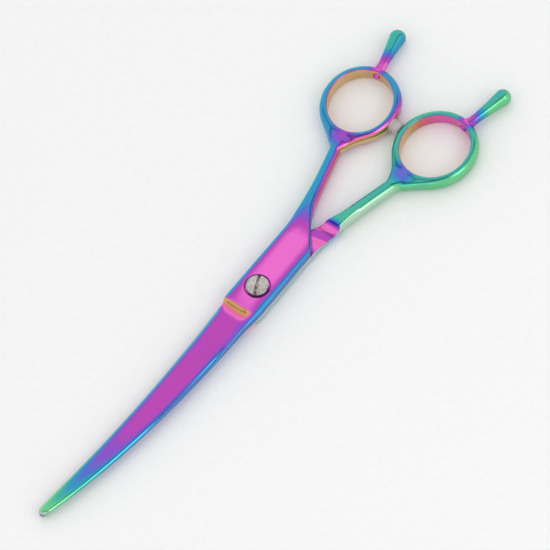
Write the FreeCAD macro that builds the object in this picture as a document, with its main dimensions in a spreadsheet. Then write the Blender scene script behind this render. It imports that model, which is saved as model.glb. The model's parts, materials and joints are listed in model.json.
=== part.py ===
import FreeCAD, Part
import math
import os
import Sketcher
from FreeCAD import Rotation, Vector

# Curved grooming shears, lying flat and closed.
# +X points to the blade tips, +Z up, and the pivot axis is the Z axis.
# The rear half lies underneath and the front half, which carries the screw head, on top.

doc = FreeCAD.newDocument("curved_shears")
sheet = doc.addObject("Spreadsheet::Sheet", "Sizes")

SIZES = {
    # the two forgings where they cross
    "half_thickness": 3.0,
    "face_gap": 0.1,
    "block_half_width": 7.0,
    "block_front": 9.6,
    "block_back": -21.5,
    "block_bevel": 1.1,
    "block_swell": 0.3,
    "block_swell_x": -27.0,
    "crotch_far": -30.0,
    "crotch_offset": 0.6,
    "crotch_side": 0.4,
    "crotch_cut": 3.0,
    "crotch_round": 4.0,
    "neck_far": -36.0,
    "neck_outside": 8.6,
    "neck_inside": 4.6,
    "neck_round": 20.0,
    "scoop_middle": -29.5,
    "scoop_radius": 6.0,
    "scoop_depth": 0.7,
    "scoop_reach": 3.2,
    # blades: both edges are polynomials of the fraction run from root to tip
    "blade_root": 8.0,
    "blade_tip": 110.0,
    "root_thickness": 2.45,
    "tip_thickness": 1.3,
    "low_root": -7.0,
    "low_rise": 6.7,
    "low_fall": -8.4,
    "high_root": 6.3,
    "high_rise": 0.3,
    "high_fall": -6.57,
    "high_curl": -5.08,
    "edge_bevel": 1.9,
    "edge_land": 0.2,
    "spine_bevel": 1.3,
    "spine_land": 0.55,
    "tip_radius": 2.9,
    "tip_depth": 2.2,
    "bevel_narrowing": 0.35,
    # handles
    "ring_height": 5.6,
    "outer_round": 2.2,
    "ring_tilt": 13.0,
    "front_ring_x": -77.0,
    "front_ring_y": 16.2,
    "front_hole_long": 12.2,
    "front_hole_short": 11.2,
    "front_rim": 2.8,
    "rear_ring_x": -77.7,
    "rear_ring_y": 15.7,
    "rear_hole_long": 12.5,
    "rear_hole_short": 11.6,
    "rear_rim": 2.85,
    "shank_height": 5.4,
    "front_shank_width": 4.2,
    "rear_shank_width": 5.0,
    "shank_spread": 1.05,
    "shank_x_1": -22.0,
    "shank_y_1": 3.1,
    "shank_x_2": -34.0,
    "shank_y_2": 5.9,
    "shank_x_3": -45.0,
    "shank_y_3": 8.6,
    "shank_x_4": -55.0,
    "shank_y_4": 11.2,
    "shank_x_5": -64.0,
    "shank_y_5": 14.0,
    "web_height": 3.6,
    "web_front": -54.0,
    "web_front_near": 8.6,
    "web_front_far": 12.6,
    "web_near_x": -72.3,
    "web_near_y": 3.2,
    "web_back_x": -77.0,
    "web_back_y": 15.0,
    "web_far_x": -69.0,
    "web_far_y": 26.6,
    "web_round": 13.0,
    # screw-in finger rests
    "rest_angle": 12.0,
    "rest_stud": 1.2,
    "rest_foot": 2.1,
    "rest_neck": 1.75,
    "rest_bulb": 2.9,
    "rest_foot_step": 0.1,
    "rest_foot_end": 3.0,
    "rest_foot_round": 4.0,
    "rest_flare_round": 42.0,
    "front_rest_length": 16.6,
    "rear_rest_length": 17.65,
    "seat_depth": 0.55,
    # pivot hardware
    "hinge_clearance": 0.05,
    "shoulder": 2.5,
    "thread": 2.0,
    "head": 3.9,
    "head_height": 1.5,
    "head_rim": 0.55,
    "head_chamfer": 0.35,
    "head_dome": 0.25,
    "head_dome_round": 14.0,
    "thread_end": 0.25,
    "thread_chamfer": 0.3,
    "running_gap": 0.02,
    "slot_width": 1.1,
    "slot_depth": 0.8,
    "slot_angle": 24.0,
    "counterbore": 4.2,
    "counterbore_depth": 0.55,
    "spring_thickness": 0.3,
    "spring_dish": 0.1,
    "glide": 5.0,
    "glide_thickness": 0.3,
    "glide_recess": 0.12,
    # stop between the finger rings
    "bumper": 2.4,
    "bumper_peg": 1.1,
    "bumper_peg_length": 1.9,
    "bumper_gap": 0.06,
    "bumper_groove": 0.25,
    "bumper_seat": 0.55,
    "bumper_end": 0.5,
    "bumper_chamfer": 0.3,
}


def fill_sheet():
    for row, (alias, number) in enumerate(SIZES.items(), start=1):
        sheet.set(f"A{row}", alias)
        sheet.set(f"B{row}", str(number))
        sheet.setAlias(f"B{row}", alias)
    doc.recompute()


def bound(text):
    """Write an expression on the sheet's cells: every alias becomes a reference to its cell."""
    for alias in sorted(SIZES, key=len, reverse=True):
        text = text.replace(f"[{alias}]", f"Sizes.{alias}")
    return text


def bind(target, path, text):
    target.setExpression(path, bound(text))


def value(text):
    return float(sheet.evalExpression(bound(text).replace("Sizes.", "")))


# ---------------------------------------------------------------- sketch and feature helpers


def new_body(label):
    body = doc.addObject("PartDesign::Body", label)
    body.Label = label
    return body


def new_sketch(body, name, role, offset="0"):
    sketch = body.newObject("Sketcher::SketchObject", name)
    plane = next(item for item in body.Origin.OriginFeatures if item.Role == role)
    sketch.AttachmentSupport = [(plane, "")]
    sketch.MapMode = "FlatFace"
    bind(sketch, "AttachmentOffset.Base.z", offset)
    return sketch


def arc_between(start, end, radius, turn):
    """Minor arc from start to end; turn is 1 where the path bends left and -1 where it bends right."""
    chord = end - start
    reach = math.sqrt(radius ** 2 - (chord.Length / 2) ** 2)
    left = Vector(-chord.y, chord.x, 0).normalize()
    centre = (start + end) / 2 + left * reach * turn
    first, last = (start, end) if turn > 0 else (end, start)
    angles = [math.atan2(p.y - centre.y, p.x - centre.x) for p in (first, last)]
    return Part.ArcOfCircle(Part.Circle(centre, Vector(0, 0, 1), radius), *angles)


def constrain(sketch, text, *parts):
    index = sketch.addConstraint(Sketcher.Constraint(*parts, value(text)))
    bind(sketch, f"Constraints[{index}]", text)


def outline(sketch, corners):
    """Closed chain of (x, y) corners; (x, y, radius, turn) bends the edge that leaves the corner."""
    points = [Vector(value(corner[0]), value(corner[1]), 0) for corner in corners]
    ends = []
    for index, corner in enumerate(corners):
        start, end = points[index], points[(index + 1) % len(points)]
        if len(corner) == 2:
            edge = sketch.addGeometry(Part.LineSegment(start, end), False)
            ends.append((edge, 1, 2))
            continue
        arc = arc_between(start, end, value(corner[2]), corner[3])
        edge = sketch.addGeometry(arc, False)
        constrain(sketch, corner[2], "Radius", edge)
        ends.append((edge, 1, 2) if corner[3] > 0 else (edge, 2, 1))
    for index, corner in enumerate(corners):
        edge, start, _ = ends[index]
        before, _, finish = ends[index - 1]
        sketch.addConstraint(Sketcher.Constraint("Coincident", before, finish, edge, start))
        constrain(sketch, corner[0], "DistanceX", edge, start)
        constrain(sketch, corner[1], "DistanceY", edge, start)


def circle(sketch, radius, x="0", y="0"):
    centre = Vector(value(x), value(y), 0)
    index = sketch.addGeometry(Part.Circle(centre, Vector(0, 0, 1), value(radius)), False)
    constrain(sketch, radius, "Radius", index)
    constrain(sketch, x, "DistanceX", index, 3)
    constrain(sketch, y, "DistanceY", index, 3)


def ellipse(sketch, x, y, long_radius, short_radius, tilt="0"):
    centre = Vector(value(x), value(y), 0)
    angle = math.radians(value(tilt))
    along = Vector(math.cos(angle), math.sin(angle), 0)
    across = Vector(-along.y, along.x, 0)
    ends = centre + along * value(long_radius), centre + across * value(short_radius)
    curve = sketch.addGeometry(Part.Ellipse(*ends, centre), False)
    sketch.exposeInternalGeometry(curve)
    constrain(sketch, f"2 * ({long_radius})", "Distance", curve + 1)
    constrain(sketch, f"2 * ({short_radius})", "Distance", curve + 2)
    constrain(sketch, x, "DistanceX", curve, 3)
    constrain(sketch, y, "DistanceY", curve, 3)


def feature(body, kind, name, profile=None, **sizes):
    item = body.newObject(f"PartDesign::{kind}", name)
    if profile is not None:
        item.Profile = profile
        profile.Visibility = False
    for path, text in sizes.items():
        bind(item, path, text)
    return item


def pad(body, sketch, length, name="Pad"):
    return feature(body, "Pad", name, sketch, Length=length)


def pocket(body, sketch, name):
    """Cut right through along the sketch's normal, both ways."""
    item = feature(body, "Pocket", name, sketch)
    item.Type = "ThroughAll"
    item.Midplane = True
    return item


def revolve(body, sketch, axis, name="Revolution"):
    item = feature(body, "Revolution", name, sketch)
    item.ReferenceAxis = (sketch, [axis])
    item.Angle = 360.0
    return item


def loft(body, sections, name):
    item = feature(body, "AdditiveLoft", name, sections[0])
    item.Sections = sections[1:]
    item.Ruled = False
    return item


def bore(body, name, radius, height, place, direction):
    """Round hole from a point on, along a direction."""
    item = feature(body, "SubtractiveCylinder", name, Radius=radius, Height=height)
    for axis, text in zip("xyz", place):
        bind(item, f"Placement.Base.{axis}", text)
    item.Placement.Rotation = Rotation(Vector(0, 0, 1), direction)
    return item


def round_edges(body, kind, name, wanted, **sizes):
    """Fillet or chamfer of the tip feature's edges that the test wants."""
    doc.recompute()
    base = body.Tip
    names = [f"Edge{number}" for number, edge in enumerate(base.Shape.Edges, start=1) if wanted(edge)]
    item = body.newObject(f"PartDesign::{kind}", name)
    item.Base = (base, names)
    for path, text in sizes.items():
        bind(item, path, text)
    return item


def at_height(edge, *heights):
    box = edge.BoundBox
    return any(abs(box.ZMin - height) < 1e-4 and abs(box.ZMax - height) < 1e-4 for height in heights)


# ---------------------------------------------------------------- the two forged halves


class Half:
    """Sizes that tell one half from the other: side is the sign of Y on which its ring lies."""

    def __init__(self, label, side):
        self.label = label
        self.side = side
        self.bottom = "0" if label == "rear" else "[half_thickness] + [face_gap]"
        self.top = f"{self.bottom} + [half_thickness]"
        self.inner = self.top if label == "rear" else self.bottom
        self.outward = -1 if label == "rear" else 1
        self.ring_x = f"[{label}_ring_x]"
        self.ring_y = f"{side} * [{label}_ring_y]"
        self.tilt = f"{-side} * [ring_tilt]"
        self.rim = f"[{label}_rim]"
        self.width = f"[{label}_shank_width]"

    def mirrored(self, corners):
        """Plan corners given for a ring on +Y, turned to this half's side."""
        turned = []
        for corner in corners:
            bend = (corner[2], corner[3] * self.side) if len(corner) > 2 else ()
            turned.append((corner[0], f"{self.side} * ({corner[1]})", *bend))
        return turned


MIDDLE = "[half_thickness] + [face_gap] / 2"


def add_ring(body, half):
    """Oval finger ring: a solid oval first, with its outer edges well rounded."""
    sketch = new_sketch(body, "ring_plan", "XY_Plane", f"{MIDDLE} - [ring_height] / 2")
    ellipse(sketch, half.ring_x, half.ring_y, f"[{half.label}_hole_long] + {half.rim}",
            f"[{half.label}_hole_short] + {half.rim}", half.tilt)
    turn_ellipse(sketch, half)
    pad(body, sketch, "[ring_height]", "ring_blank")
    ends = value(f"{MIDDLE} - [ring_height] / 2"), value(f"{MIDDLE} + [ring_height] / 2")
    round_edges(body, "Fillet", "ring_outside", lambda edge: at_height(edge, *ends), Radius="[outer_round]")


def turn_ellipse(sketch, half):
    """Hold the long axis of the sketch's oval at the ring's own tilt."""
    sketch.addConstraint(Sketcher.Constraint("Angle", 1, math.radians(value(half.tilt))))
    bind(sketch, f"Constraints[{sketch.ConstraintCount - 1}]", half.tilt)


def add_web(body, half):
    """Thin web that flares from the shank to both sides of the ring."""
    sketch = new_sketch(body, "web_plan", "XY_Plane", f"{MIDDLE} - [web_height] / 2")
    outline(sketch, half.mirrored([
        ("[web_front]", "[web_front_near]", "[web_round]", 1),
        ("[web_near_x]", "[web_near_y]"),
        ("[web_back_x]", "[web_back_y]"),
        ("[web_far_x]", "[web_far_y]", "[web_round]", 1),
        ("[web_front]", "[web_front_far]"),
    ]))
    pad(body, sketch, "[web_height]", "web")


def add_shank(body, half):
    """Rounded shank, as a loft through upright ovals from inside the block to inside the ring."""
    spreads = ["[shank_spread]", "[shank_spread]", "1", "1", "[shank_spread]"]
    sections = []
    for number, spread in enumerate(spreads, start=1):
        sketch = new_sketch(body, f"shank_section_{number}", "YZ_Plane", f"[shank_x_{number}]")
        ellipse(sketch, f"{half.side} * [shank_y_{number}]", MIDDLE, "[shank_height] / 2",
                f"{half.width} / 2 * {spread}", "90")
        sections.append(sketch)
    loft(body, sections, "shank")


def add_block(body, half):
    """Flat pivot block, cut away at an angle behind the pivot so that the handles can part."""
    sketch = new_sketch(body, "block_plan", "XY_Plane", half.bottom)
    outline(sketch, half.mirrored([
        ("[block_front]", "-[block_half_width]"),
        ("[block_front]", "[block_half_width]"),
        ("[block_swell_x]", "[block_half_width] + [block_swell]"),
        ("[neck_far]", "[neck_outside]"),
        ("[neck_far]", "[neck_inside]", "[neck_round]", -1),
        ("[crotch_far]", "[crotch_offset]"),
        ("[block_back]", "-[block_half_width] + [crotch_side]", "[crotch_round]", 1),
        ("[block_back] + [crotch_cut]", "-[block_half_width]"),
    ]))
    pad(body, sketch, "[half_thickness]", "block")
    face = value(half.top if half.outward > 0 else half.bottom)

    def long_side(edge):
        return at_height(edge, face) and edge.BoundBox.XLength > 20 and edge.BoundBox.YLength < 0.5

    round_edges(body, "Chamfer", "block_bevels", long_side, Size="[block_bevel]")


def add_scoop(body, half):
    """Round groove across the inner side of the shank, so that the other half's block can pass over it."""
    away = -half.outward
    radius, depth, reach = "[scoop_radius]", "[scoop_depth]", "[scoop_reach]"
    start = f"[scoop_middle] - sqrt({radius} ^ 2 - ({radius} - {depth} - {reach}) ^ 2)"
    end = f"[scoop_middle] + sqrt({radius} ^ 2 - ({radius} - {depth}) ^ 2)"
    far = f"{half.inner} + {away} * ({reach} + 1)"
    sketch = new_sketch(body, "scoop_profile", "XZ_Plane")
    outline(sketch, [
        (start, f"{half.inner} + {away} * {reach}", radius, away),
        (end, half.inner),
        ("[block_front] + 2", half.inner),
        ("[block_front] + 2", far),
        (start, far),
    ])
    pocket(body, sketch, "scoop")


def edge_line(side, run):
    if side < 0:
        return f"[low_root] + [low_rise] * {run} + [low_fall] * {run} ^ 2"
    return f"[high_root] + [high_rise] * {run} + [high_fall] * {run} ^ 2 + [high_curl] * {run} ^ 3"


def blade_section(body, half, number, run):
    """Flat inner face, a bevel up from the cutting edge, the outer face and a bevel down to the spine."""
    out = half.outward
    x = f"[blade_root] + ([blade_tip] - [blade_root]) * {run}"
    thick = f"([root_thickness] + ([tip_thickness] - [root_thickness]) * {run})"
    cutting, spine = edge_line(-out, run), edge_line(out, run)
    narrow = f"(1 - [bevel_narrowing] * {run})"
    outer = f"{half.inner} + {out} * {thick}"
    sketch = new_sketch(body, f"blade_section_{number}", "YZ_Plane", x)
    outline(sketch, [
        (cutting, half.inner),
        (cutting, f"{half.inner} + {out} * [edge_land]"),
        (f"{cutting} + {out} * [edge_bevel] * {narrow}", outer),
        (f"{spine} - {out} * [spine_bevel] * {narrow}", outer),
        (spine, f"{half.inner} + {out} * [spine_land] * {thick}"),
        (spine, half.inner),
    ])
    return sketch


def add_blade(body, half):
    runs = ["0", "0.2", "0.4", "0.6", "0.8", "1"]
    sections = [blade_section(body, half, number, run) for number, run in enumerate(runs, start=1)]
    loft(body, sections, "blade")
    sketch = new_sketch(body, "tip_plan", "XY_Plane")
    start = "[blade_tip] - [tip_depth]"
    low, high = f"{edge_line(-1, '1')} - 1", f"{edge_line(1, '1')} + 1"
    outline(sketch, [
        (start, low),
        ("[blade_tip] + 1", low),
        ("[blade_tip] + 1", high),
        (start, high, "[tip_radius]", -1),
    ])
    pocket(body, sketch, "round_tip")


def add_finger_hole(body, half):
    sketch = new_sketch(body, "hole_plan", "XY_Plane", MIDDLE)
    long_radius, short_radius = f"[{half.label}_hole_long]", f"[{half.label}_hole_short]"
    ellipse(sketch, half.ring_x, half.ring_y, long_radius, short_radius, half.tilt)
    turn_ellipse(sketch, half)
    pocket(body, sketch, "finger_hole")


def oval_radius(half, angle, extra):
    """Distance from the ring's centre to its oval, along a direction in plan, in millimetres."""
    long_radius = value(f"[{half.label}_hole_long] + {extra}")
    short_radius = value(f"[{half.label}_hole_short] + {extra}")
    turn = math.radians(angle - value(half.tilt))
    across = math.hypot(short_radius * math.cos(turn), long_radius * math.sin(turn))
    return long_radius * short_radius / across


def rest_direction(half):
    angle = 180 - half.side * value("[rest_angle]")
    return angle, Vector(math.cos(math.radians(angle)), math.sin(math.radians(angle)), 0)


def rest_root(half):
    """Point on the ring's outer oval where the finger rest is seated."""
    angle, along = rest_direction(half)
    centre = Vector(value(half.ring_x), value(half.ring_y), value(MIDDLE))
    return centre + along * oval_radius(half, angle, half.rim)


def add_rest_hole(body, half):
    along = rest_direction(half)[1]
    seat = rest_root(half) - along * value("[seat_depth]")
    inside = seat - along * value(f"{half.rim} + 1")
    bore(body, "rest_thread", "[rest_stud] + [hinge_clearance]", f"{half.rim} + 2",
         [str(number) for number in inside], along)
    bore(body, "rest_seat", "[rest_foot] + [hinge_clearance]", "3", [str(number) for number in seat], along)


def make_half(half):
    body = new_body(f"{half.label}_half")
    add_ring(body, half)
    add_rest_hole(body, half)
    add_web(body, half)
    add_shank(body, half)
    add_block(body, half)
    add_scoop(body, half)
    add_blade(body, half)
    add_finger_hole(body, half)
    up = Vector(0, 0, 1)
    if half.label == "front":
        bore(body, "pivot_hole", "[shoulder] + [hinge_clearance]", "20", ("0", "0", "0"), up)
        bore(body, "head_recess", "[counterbore]", "5", ("0", "0", f"{half.top} - [counterbore_depth]"), up)
        bore(body, "glide_recess", "[glide] + [hinge_clearance]", "[glide_recess]",
             ("0", "0", half.inner), up)
        bore(body, "bumper_hole", "[bumper_peg] + 0.01", "[bumper_peg_length] + 0.1",
             (BUMPER_X, f"{BUMPER_SEAT} - [bumper_peg_length] - 0.1", MIDDLE), Vector(0, 1, 0))
        bore(body, "bumper_seat", "[bumper] + 0.02", "3", (BUMPER_X, BUMPER_SEAT, MIDDLE), Vector(0, 1, 0))
    else:
        bore(body, "pivot_hole", "[thread] + [hinge_clearance]", "20", ("0", "0", "-5"), up)
        bore(body, "glide_recess", "[glide] + [hinge_clearance]", "1",
             ("0", "0", f"{half.inner} - [glide_recess]"), up)
    return body


# ---------------------------------------------------------------- screwed-in and soft pieces

BUMPER_X = "[front_ring_x]"
BUMPER_SEAT = "-[front_ring_y] + [front_hole_short] + [front_rim] - [bumper_seat]"
BUMPER_END = "[rear_ring_y] - [rear_hole_short] - [rear_rim] - [bumper_gap]"


def make_finger_rest(half):
    """Turned rest: threaded stud, flared foot, slim neck and a rounded bulb, all in one piece."""
    body = new_body(f"finger_rest_{half.label}")
    sketch = new_sketch(body, "profile", "XY_Plane")
    length = f"[{half.label}_rest_length]"
    outline(sketch, [
        (f"-{half.rim} + 0.1", "0"),
        (f"-{half.rim} + 0.1", "[rest_stud]"),
        ("-[seat_depth]", "[rest_stud]"),
        ("-[seat_depth]", "[rest_foot]"),
        ("[rest_foot_step]", "[rest_foot]", "[rest_foot_round]", 1),
        ("[rest_foot_end]", "[rest_neck]", "[rest_flare_round]", 1),
        (f"{length} - [rest_bulb]", "[rest_bulb]", "[rest_bulb]", -1),
        (length, "0"),
    ])
    revolve(body, sketch, "H_Axis", "turned")
    root = rest_root(half)
    body.Placement.Base = root
    body.Placement.Rotation = Rotation(Vector(0, 0, 1), rest_direction(half)[0])
    return body


def make_pivot_screw():
    """Slotted shoulder screw: head, plain shoulder in the front half, thread in the rear half."""
    body = new_body("pivot_screw")
    under = "2 * [half_thickness] + [face_gap] - [counterbore_depth] + [spring_thickness] + 2 * [running_gap]"
    sketch = new_sketch(body, "profile", "XZ_Plane")
    shoulder_end = "[half_thickness] + [running_gap]"
    outline(sketch, [
        ("0", "[thread_end]"),
        ("[thread] - [thread_chamfer]", "[thread_end]"),
        ("[thread]", "[thread_end] + [thread_chamfer]"),
        ("[thread]", shoulder_end),
        ("[shoulder]", shoulder_end),
        ("[shoulder]", under),
        ("[head]", under),
        ("[head]", f"{under} + [head_height] - [head_rim]"),
        ("[head] - [head_chamfer]", f"{under} + [head_height] - [head_dome]", "[head_dome_round]", 1),
        ("0", f"{under} + [head_height]"),
    ])
    revolve(body, sketch, "V_Axis", "turned")
    plan = new_sketch(body, "slot_plan", "XY_Plane", f"{under} + [head_height] - [slot_depth]")
    past, side = "([head] + 1)", "[slot_width] / 2"
    outline(plan, [(f"-{past}", f"-{side}"), (past, f"-{side}"), (past, side), (f"-{past}", side)])
    bind(plan, "AttachmentOffset.Rotation.Angle", "[slot_angle]")
    cut = feature(body, "Pocket", "slot", plan, Length="2")
    cut.Reversed = True
    return body


def make_spring_washer():
    """Dished steel washer that keeps tension under the screw head."""
    body = new_body("spring_washer")
    sketch = new_sketch(body, "profile", "XZ_Plane")
    seat = "2 * [half_thickness] + [face_gap] - [counterbore_depth] + [running_gap]"
    inner = "[shoulder] + [hinge_clearance]"
    outline(sketch, [
        (inner, f"{seat} + [spring_dish]"),
        ("[head] - [spring_dish]", seat),
        ("[head] - [spring_dish]", f"{seat} + [spring_thickness] - [spring_dish]"),
        (inner, f"{seat} + [spring_thickness]"),
    ])
    revolve(body, sketch, "V_Axis", "pressed")
    return body


def make_glide_washer():
    """Thin nylon ring between the two halves."""
    body = new_body("glide_washer")
    sketch = new_sketch(body, "plan", "XY_Plane", f"{MIDDLE} - [glide_thickness] / 2")
    circle(sketch, "[glide]")
    circle(sketch, "[shoulder] + [hinge_clearance]")
    pad(body, sketch, "[glide_thickness]", "ring")
    return body


def make_bumper():
    """Ribbed soft stop, pegged into the front ring and touching the rear ring when closed."""
    body = new_body("bumper")
    sketch = new_sketch(body, "profile", "XY_Plane")
    length = f"({BUMPER_END} - ({BUMPER_SEAT}))"
    rib = f"{length} / 8"
    corners = [("-[bumper_peg_length]", "0"), ("-[bumper_peg_length]", "[bumper_peg]"), ("0", "[bumper_peg]"),
               ("0", "[bumper]")]
    for step in range(3, 7):
        corners += [(f"{rib} * {step}", "[bumper]" + (" - [bumper_groove]" if step % 2 == 0 else "")),
                    (f"{rib} * {step}", f"[bumper]{' - [bumper_groove]' if step % 2 else ''}")]
    corners += [(f"{length} - [bumper_chamfer]", "[bumper]"), (length, "[bumper] - [bumper_end]"),
                (length, "0")]
    outline(sketch, corners)
    revolve(body, sketch, "H_Axis", "moulded")
    for axis, text in zip("xyz", (BUMPER_X, BUMPER_SEAT, MIDDLE)):
        bind(body, f"Placement.Base.{axis}", text)
    body.Placement.Rotation = Rotation(Vector(0, 0, 1), 90)
    return body


# ---------------------------------------------------------------- build, check and write


def check(bodies):
    for item in doc.Objects:
        if "Invalid" in item.State or "Error" in item.State:
            raise RuntimeError(f"{item.Name} ({item.Label}) failed: {item.State}")
    for body in bodies:
        shape = body.Shape
        if shape.isNull() or not shape.isValid() or len(shape.Solids) != 1:
            raise RuntimeError(f"{body.Label} is not one valid solid")


def main():
    fill_sheet()
    front, rear = Half("front", -1), Half("rear", 1)
    bodies = [make_half(front), make_half(rear)]
    bodies += [make_finger_rest(front), make_finger_rest(rear)]
    bodies += [make_pivot_screw(), make_spring_washer(), make_glide_washer(), make_bumper()]
    doc.recompute()
    check(bodies)
    os.makedirs("parts", exist_ok=True)
    for body in bodies:
        body.Shape.exportStep(f"parts/{body.Label}.step")
        box = body.Shape.BoundBox
        print(f"{body.Label}: {body.Shape.Volume:.1f} mm3, x {box.XMin:.2f}..{box.XMax:.2f}, "
              f"y {box.YMin:.2f}..{box.YMax:.2f}, z {box.ZMin:.2f}..{box.ZMax:.2f}")


main()
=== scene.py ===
# %% [markdown]
# # Curved grooming shears
# A pair of long curved shears is two steel forgings, a screw and a few small parts. The forgings are
# polished by hand, so no edge on them is really sharp except the cutting edge, and every joint between ring,
# shank and block is a soft fillet. The whole lesson is about keeping that softness.

# %% Load the frame
import json
import math
import bpy
import numpy as np
from mathutils import Matrix, Vector


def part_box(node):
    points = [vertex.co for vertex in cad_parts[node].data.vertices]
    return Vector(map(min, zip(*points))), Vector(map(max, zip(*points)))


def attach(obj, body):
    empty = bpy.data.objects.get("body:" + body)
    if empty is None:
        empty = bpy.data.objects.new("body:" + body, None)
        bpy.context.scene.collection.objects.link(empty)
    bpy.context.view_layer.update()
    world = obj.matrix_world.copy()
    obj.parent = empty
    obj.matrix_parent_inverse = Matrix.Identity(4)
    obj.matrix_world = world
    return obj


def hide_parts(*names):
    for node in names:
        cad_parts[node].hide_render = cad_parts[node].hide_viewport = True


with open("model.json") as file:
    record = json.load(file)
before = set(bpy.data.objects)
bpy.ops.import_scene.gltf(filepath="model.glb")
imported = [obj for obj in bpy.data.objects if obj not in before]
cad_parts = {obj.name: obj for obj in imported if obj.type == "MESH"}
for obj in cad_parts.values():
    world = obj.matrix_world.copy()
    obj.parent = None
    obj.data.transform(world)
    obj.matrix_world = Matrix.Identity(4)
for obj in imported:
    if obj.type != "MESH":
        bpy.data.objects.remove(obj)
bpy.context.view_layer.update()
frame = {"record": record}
record = frame["record"]
MM = 0.001

# %% [markdown]
# ## Places from the frame
# Each finger hole is stated in the record as a box, and its middle is the ring's centre. The pivot's height
# is the plane where the two halves meet. All lengths below are in millimetres and are scaled once, when a
# mesh is made.

# %% Places
openings = {item["name"]: np.array(item["box_m"]) / MM for item in record["physics"]["openings"]}
mid = record["behaviour"]["joints"][0]["pos_m"][2] / MM
front_box = np.array(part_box("front_half")) / MM
rear_box = np.array(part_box("rear_half")) / MM
screw_box = np.array(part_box("pivot_screw")) / MM
face_gap = 0.1
block_height = mid - face_gap / 2
tip_x = front_box[1, 0]


def ring_centre(name):
    return openings[name].mean(axis=0)[:2]


print(f"halves meet at z {mid:.2f} mm, tips at x {tip_x:.1f} mm")

# %% [markdown]
# ## A solid written as a formula
# A forging could be modelled with subdivision surfaces, but the fillets between a ring, a web and a shank
# are hard to keep even by hand. Here the solid is a distance field: a formula that is negative inside the
# steel. A smooth minimum joins two shapes with a fillet, and a smooth maximum cuts one with a rounded edge.

# %% Field operators


def smooth_min(first, second, soft):
    blend = np.clip(0.5 + 0.5 * (second - first) / soft, 0, 1)
    return second * (1 - blend) + first * blend - soft * blend * (1 - blend)


def smooth_max(first, second, soft):
    return -smooth_min(-first, -second, soft)


def smooth_step(low, high, value):
    run = np.clip((value - low) / (high - low), 0, 1)
    return run * run * (3 - 2 * run)


def oval_distance(x, y, long_radius, short_radius):
    """Nearly the distance to an oval, exact on its outline."""
    inner = np.sqrt((x / long_radius) ** 2 + (y / short_radius) ** 2) + 1e-9
    outer = np.sqrt((x / long_radius ** 2) ** 2 + (y / short_radius ** 2) ** 2) + 1e-9
    return inner * (inner - 1) / outer


def rod_distance(point, start, along, radius):
    """Distance to an endless round rod, for holes."""
    offset = [p - s for p, s in zip(point, start)]
    run = sum(o * a for o, a in zip(offset, along))
    return np.sqrt(np.maximum(sum(o * o for o in offset) - run * run, 0)) - radius, run


print(f"where two walls are 1 mm off, a fillet 2 mm soft is {smooth_min(1.0, 1.0, 2.0):.1f} mm off")

# %% [markdown]
# ## From field to mesh
# A surface net walks a grid over the field and puts one vertex in each cell that the surface crosses. It
# gives clean quads. The vertices are then pulled along the field's slope until they lie on the true
# surface, so the polish has no grid pattern in it.

# %% Surface net
CORNERS = np.array([(i, j, k) for i in (0, 1) for j in (0, 1) for k in (0, 1)])
CELL_EDGES = [(a, b) for a in range(8) for b in range(a + 1, 8) if np.abs(CORNERS[a] - CORNERS[b]).sum() == 1]


def net_points(values, cells, low, step):
    """Mean of the crossings on each cell's twelve edges."""
    corner_values = np.stack([values[tuple((cells + corner).T)] for corner in CORNERS], axis=1)
    total = np.zeros((len(cells), 3))
    count = np.zeros(len(cells))
    for a, b in CELL_EDGES:
        va, vb = corner_values[:, a], corner_values[:, b]
        crossed = (va < 0) != (vb < 0)
        run = np.where(crossed, va / np.where(crossed, va - vb, 1), 0)[:, None]
        total += crossed[:, None] * (CORNERS[a] + run * (CORNERS[b] - CORNERS[a]))
        count += crossed
    return low + (cells + total / count[:, None]) * step


def net_faces(inside, number):
    faces = []
    for axis in range(3):
        u, v = (axis + 1) % 3, (axis + 2) % 3
        ahead = [slice(None)] * 3
        ahead[axis] = slice(1, None)
        here = [slice(None)] * 3
        here[axis] = slice(None, -1)
        first, second = inside[tuple(here)], inside[tuple(ahead)]
        spots = np.argwhere(first != second)
        spots = spots[(spots[:, u] > 0) & (spots[:, v] > 0)]
        leaving = first[tuple(spots.T)]
        quad = []
        for du, dv in ((1, 1), (0, 1), (0, 0), (1, 0)):
            cell = spots.copy()
            cell[:, u] -= du
            cell[:, v] -= dv
            quad.append(number[tuple(cell.T)])
        quad = np.stack(quad, axis=1)
        quad[~leaving] = quad[~leaving][:, ::-1]
        faces.append(quad)
    return np.concatenate(faces)


def slope(field, points, reach=0.01):
    steps = np.eye(3) * reach
    return np.stack([field(*(points + s).T) - field(*(points - s).T) for s in steps], axis=1) / (2 * reach)


def settle(field, points, rounds=4):
    for _ in range(rounds):
        gradient = slope(field, points)
        size = np.maximum((gradient ** 2).sum(axis=1), 0.05)
        move = -(field(*points.T) / size)[:, None] * gradient
        length = np.linalg.norm(move, axis=1, keepdims=True)
        points = points + move * np.minimum(1, 0.15 / np.maximum(length, 1e-9))
    return points


def make_mesh(name, points, faces, smooth=True):
    """Blender object from points in millimetres and faces of three or four corners."""
    mesh = bpy.data.meshes.new(name)
    mesh.from_pydata((points * MM).tolist(), [], [tuple(face) for face in faces])
    mesh.validate()
    mesh.polygons.foreach_set("use_smooth", [smooth] * len(mesh.polygons))
    piece = bpy.data.objects.new(name, mesh)
    bpy.context.scene.collection.objects.link(piece)
    return piece


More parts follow.
